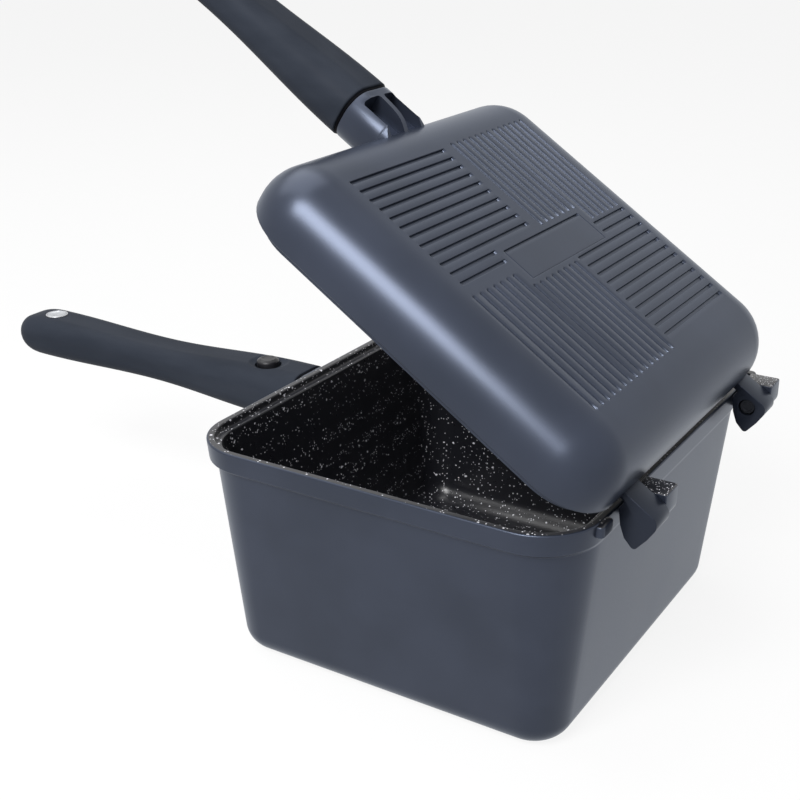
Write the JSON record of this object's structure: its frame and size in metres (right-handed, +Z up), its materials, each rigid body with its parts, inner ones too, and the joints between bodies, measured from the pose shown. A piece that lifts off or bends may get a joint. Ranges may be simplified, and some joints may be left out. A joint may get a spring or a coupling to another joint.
{
  "type": "double sided flip pan",
  "caption": "Deep square pan hinged to a ribbed griddle lid, each with a long straight grip that comes off at a push button.",
  "frame": {"origin": "centre of the deep pan's flat base, which is on z = 0", "axes": "+Z up; the hinge is on the +X side and both grips point to -X; the hinge line lies along Y"},
  "size_m": [0.414, 0.2094, 0.3473],
  "materials": {
    "pan_casting": "satin navy grey coating outside, black speckled non-stick inside",
    "lid_casting": "satin navy grey coating outside, black speckled non-stick inside",
    "steel": "plain drawn steel",
    "ring_rubber": "matt black",
    "grip_plastic": "soft touch, charcoal",
    "button_plastic": "black",
    "magnet_plate": "nickel plated"
  },
  "bodies": {
    "pan": {"deep_pan": "pan_casting", "hinge_pin_front": "steel", "hinge_pin_rear": "steel", "pan_tang": "steel", "lower_ring": "ring_rubber", "lower_grip": "grip_plastic", "lower_cup": "steel", "lower_magnet": "magnet_plate", "lower_spring": "steel"},
    "lid": {"griddle_lid": "lid_casting", "lid_tang": "steel", "upper_ring": "ring_rubber", "upper_grip": "grip_plastic", "upper_cup": "steel", "upper_magnet": "magnet_plate", "upper_spring": "steel"},
    "lower_release": {"lower_button": "button_plastic", "lower_plunger": "steel"},
    "upper_release": {"upper_button": "button_plastic", "upper_plunger": "steel"}
  },
  "joints": [
    {"name": "lid_hinge", "type": "hinge", "parent": "pan", "child": "lid", "pos_m": [0.1043, 0, 0.1062], "axis": [0, 1, 0], "range_deg": [-33.5, 48.5]},
    {"name": "lower_button_press", "type": "slide", "parent": "pan", "child": "lower_release", "axis": [0, 0, -1], "range_m": [0, 0.003], "stiffness_N_per_m": 600, "springref_m": -0.002},
    {"name": "upper_button_press", "type": "slide", "parent": "lid", "child": "upper_release", "axis": [0.5519, 0, 0.8339], "range_m": [0, 0.003], "stiffness_N_per_m": 600, "springref_m": -0.002}
  ]
}
